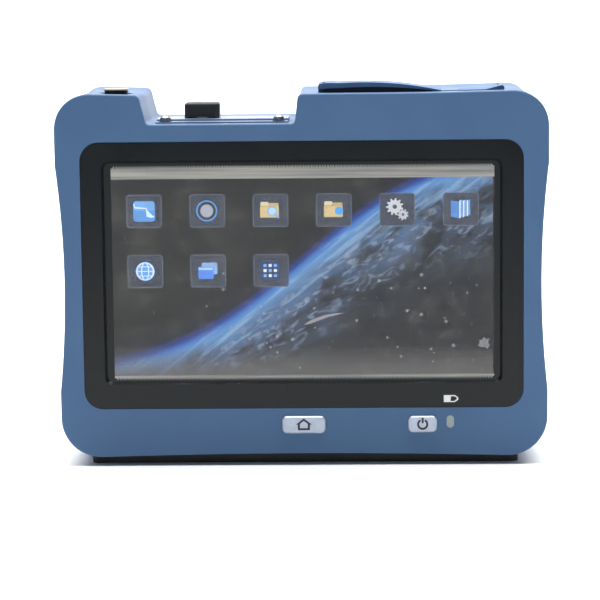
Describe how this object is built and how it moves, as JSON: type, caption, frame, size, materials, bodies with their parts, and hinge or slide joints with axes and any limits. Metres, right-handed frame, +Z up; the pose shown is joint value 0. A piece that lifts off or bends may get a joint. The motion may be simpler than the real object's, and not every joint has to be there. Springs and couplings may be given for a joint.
{
  "type": "optical time domain reflectometer",
  "caption": "Hand-held fibre tester with a touch screen in a waisted blue case, a capped fibre port in a top notch, hinged socket covers, a stylus and a fold-out stand.",
  "frame": {"origin": "on the surface under the feet, below the middle of the instrument", "axes": "+X to the user's right along the width, +Y from the screen to the back, +Z up"},
  "size_m": [0.2, 0.064, 0.1568],
  "materials": {
    "blue_shell": "fine spark-eroded texture",
    "dark_shell": "fine spark-eroded texture",
    "seal": "matt silicone",
    "black_panel": "satin",
    "film": "clear film",
    "screen_glass": "lit screen behind glass",
    "foam": "closed-cell foam",
    "screen_can": "rolled sheet",
    "black_plastic": "moulded",
    "silver_key": "silver paint, satin",
    "board": "solder mask",
    "light_lens": "frosted clear",
    "steel": "zinc plated",
    "nickel": "nickel plated",
    "ceramic": "zirconia",
    "black_rubber": "matt",
    "blue_rubber": "matt",
    "fibre": "coated fibre",
    "battery_wrap": "shrink wrap",
    "stylus_plastic": "moulded"
  },
  "bodies": {
    "case": {"front_housing": "blue_shell", "rear_housing": "dark_shell", "case_gasket": "seal", "bezel": "black_panel", "screen_film": "film", "touch_panel": "screen_glass", "screen_foam": "foam", "lcd_module": "screen_can", "display_frame": "black_plastic", "key_switches": "black_plastic", "key_board": "board", "light_pipe": "light_lens", "port_plate": "black_panel", "port_plate_screws": "steel", "fibre_adapter": "nickel", "ferrule_sleeve": "ceramic", "dust_cap_pin": "steel", "port_cover_pin": "steel", "jack_cover_pin": "steel", "network_socket": "nickel", "usb_sockets": "nickel", "power_jack": "black_plastic", "main_board": "board", "measuring_module": "screen_can", "module_spacers": "nickel", "fibre_spool": "black_plastic", "fibre_coil": "fibre", "buzzer": "black_plastic", "battery_pack": "battery_wrap", "battery_door": "dark_shell", "battery_door_screws": "steel", "case_screws": "steel", "stand_pins": "steel", "rubber_feet": "black_rubber", "back_pads": "black_rubber", "stylus_sleeve": "black_plastic"},
    "home_button": {"home_key": "silver_key"},
    "power_button": {"power_key": "silver_key"},
    "dust_cap_body": {"dust_cap": "black_rubber"},
    "port_cover_body": {"port_cover": "blue_rubber"},
    "jack_cover_body": {"jack_cover": "blue_rubber"},
    "stylus_body": {"stylus": "stylus_plastic"},
    "stand_body": {"folding_stand": "dark_shell"}
  },
  "joints": [
    {"name": "home_press", "type": "slide", "parent": "case", "child": "home_button", "axis": [0, 1, 0], "range_m": [0, 0.0008], "stiffness_N_per_m": 1500},
    {"name": "power_press", "type": "slide", "parent": "case", "child": "power_button", "axis": [0, 1, 0], "range_m": [0, 0.0008], "stiffness_N_per_m": 1500},
    {"name": "dust_cap_flip", "type": "hinge", "parent": "case", "child": "dust_cap_body", "pos_m": [-0.0409, -0.0024, 0.14345], "axis": [-1, 0, 0], "range_deg": [0, 115]},
    {"name": "port_cover_flip", "type": "hinge", "parent": "case", "child": "port_cover_body", "pos_m": [0.00805, -0.014, 0.15465], "axis": [0, -1, 0], "range_deg": [0, 110]},
    {"name": "jack_cover_flip", "type": "hinge", "parent": "case", "child": "jack_cover_body", "pos_m": [0.08125, -0.014, 0.1534], "axis": [0, 1, 0], "range_deg": [0, 110]},
    {"name": "stylus_pull", "type": "slide", "parent": "case", "child": "stylus_body", "axis": [0, 0, 1], "range_m": [0, 0.112]},
    {"name": "stand_fold", "type": "hinge", "parent": "case", "child": "stand_body", "pos_m": [0, 0.0289, 0.094], "axis": [1, 0, 0], "range_deg": [0, 60]}
  ]
}
